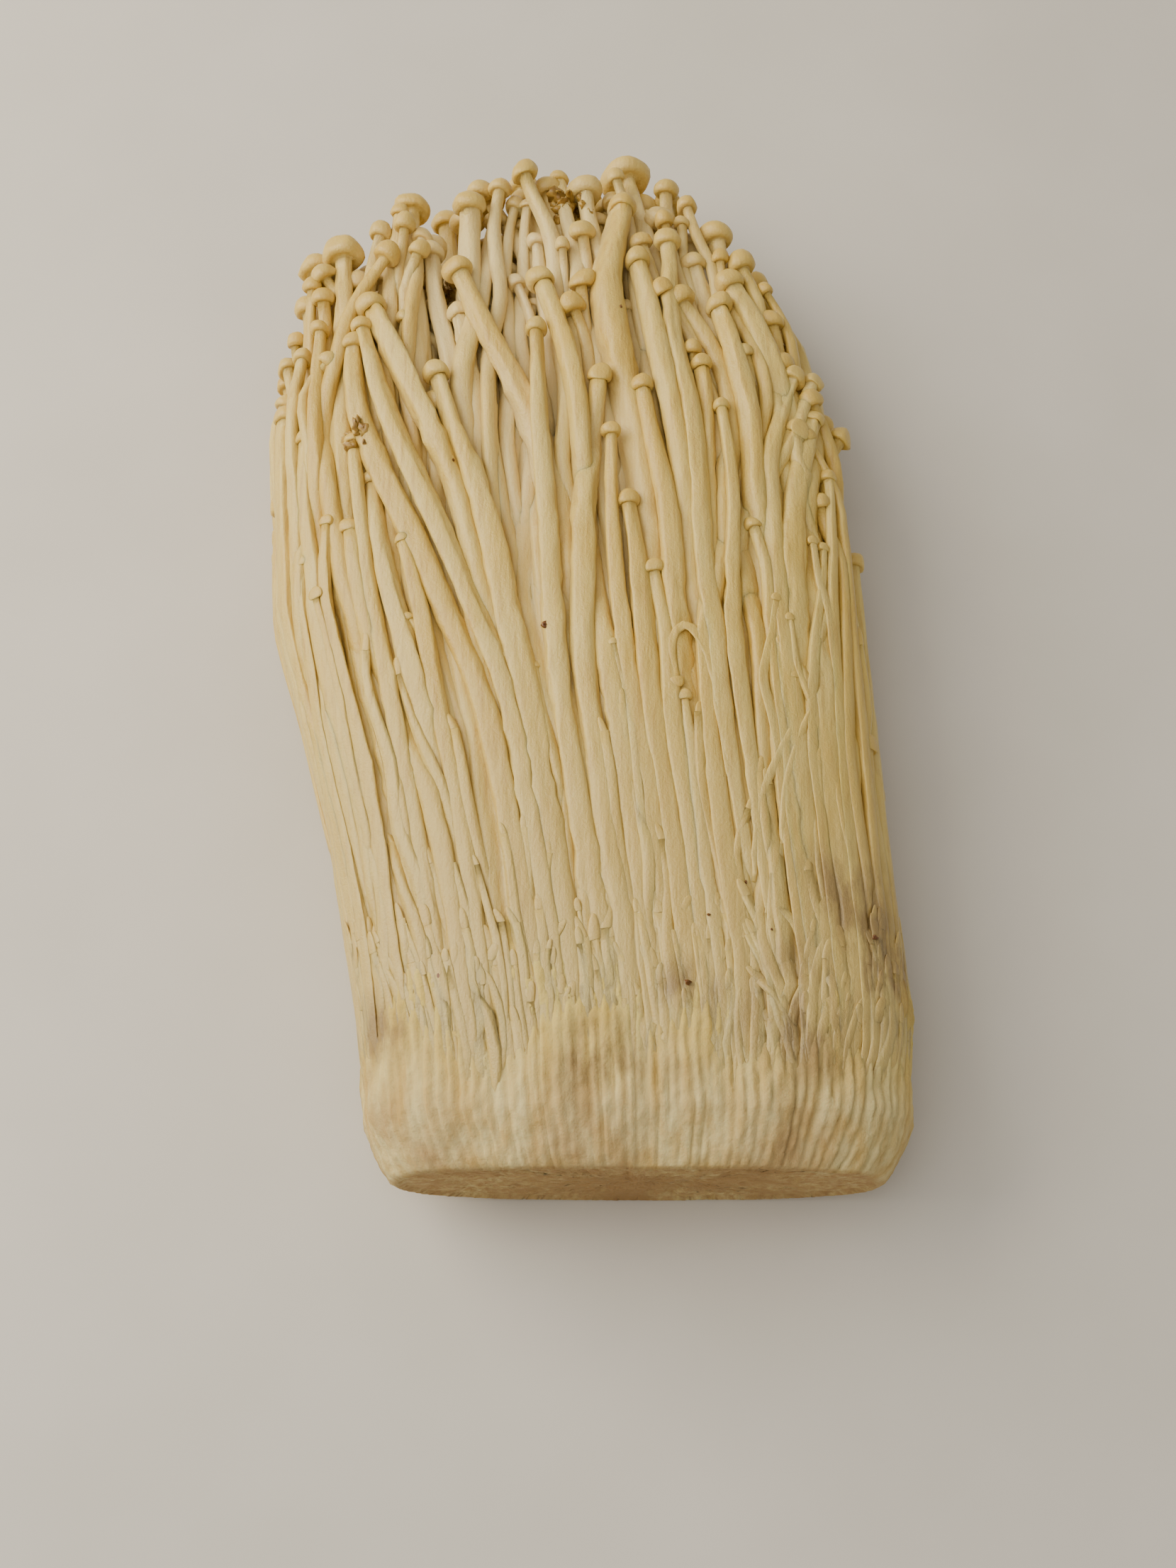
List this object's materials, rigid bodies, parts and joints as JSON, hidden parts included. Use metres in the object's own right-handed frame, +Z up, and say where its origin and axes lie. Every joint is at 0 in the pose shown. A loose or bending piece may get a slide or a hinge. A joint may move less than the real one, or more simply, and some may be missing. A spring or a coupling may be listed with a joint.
{
  "type": "enoki mushroom bunch",
  "caption": "Bunch of slender pale mushrooms with small button caps, rising from one matted root clump and opening into a fan, lying on its side.",
  "frame": {"origin": "on the table, under the middle of the lying bunch", "axes": "+Y along the stems from the root clump to the caps, +Z up from the table, +X across the fan"},
  "size_m": [0.0964, 0.1664, 0.0336],
  "materials": {
    "mushroom_flesh": "smooth, moist, slightly see-through cream flesh, satin, a little yellower on the caps",
    "matted_mycelium": "matt off-white mat with grey and tan stains and brown crumbs of growing medium"
  },
  "bodies": {
    "root": {"mushrooms": "mushroom_flesh", "root_clump": "matted_mycelium"}
  },
  "joints": []
}
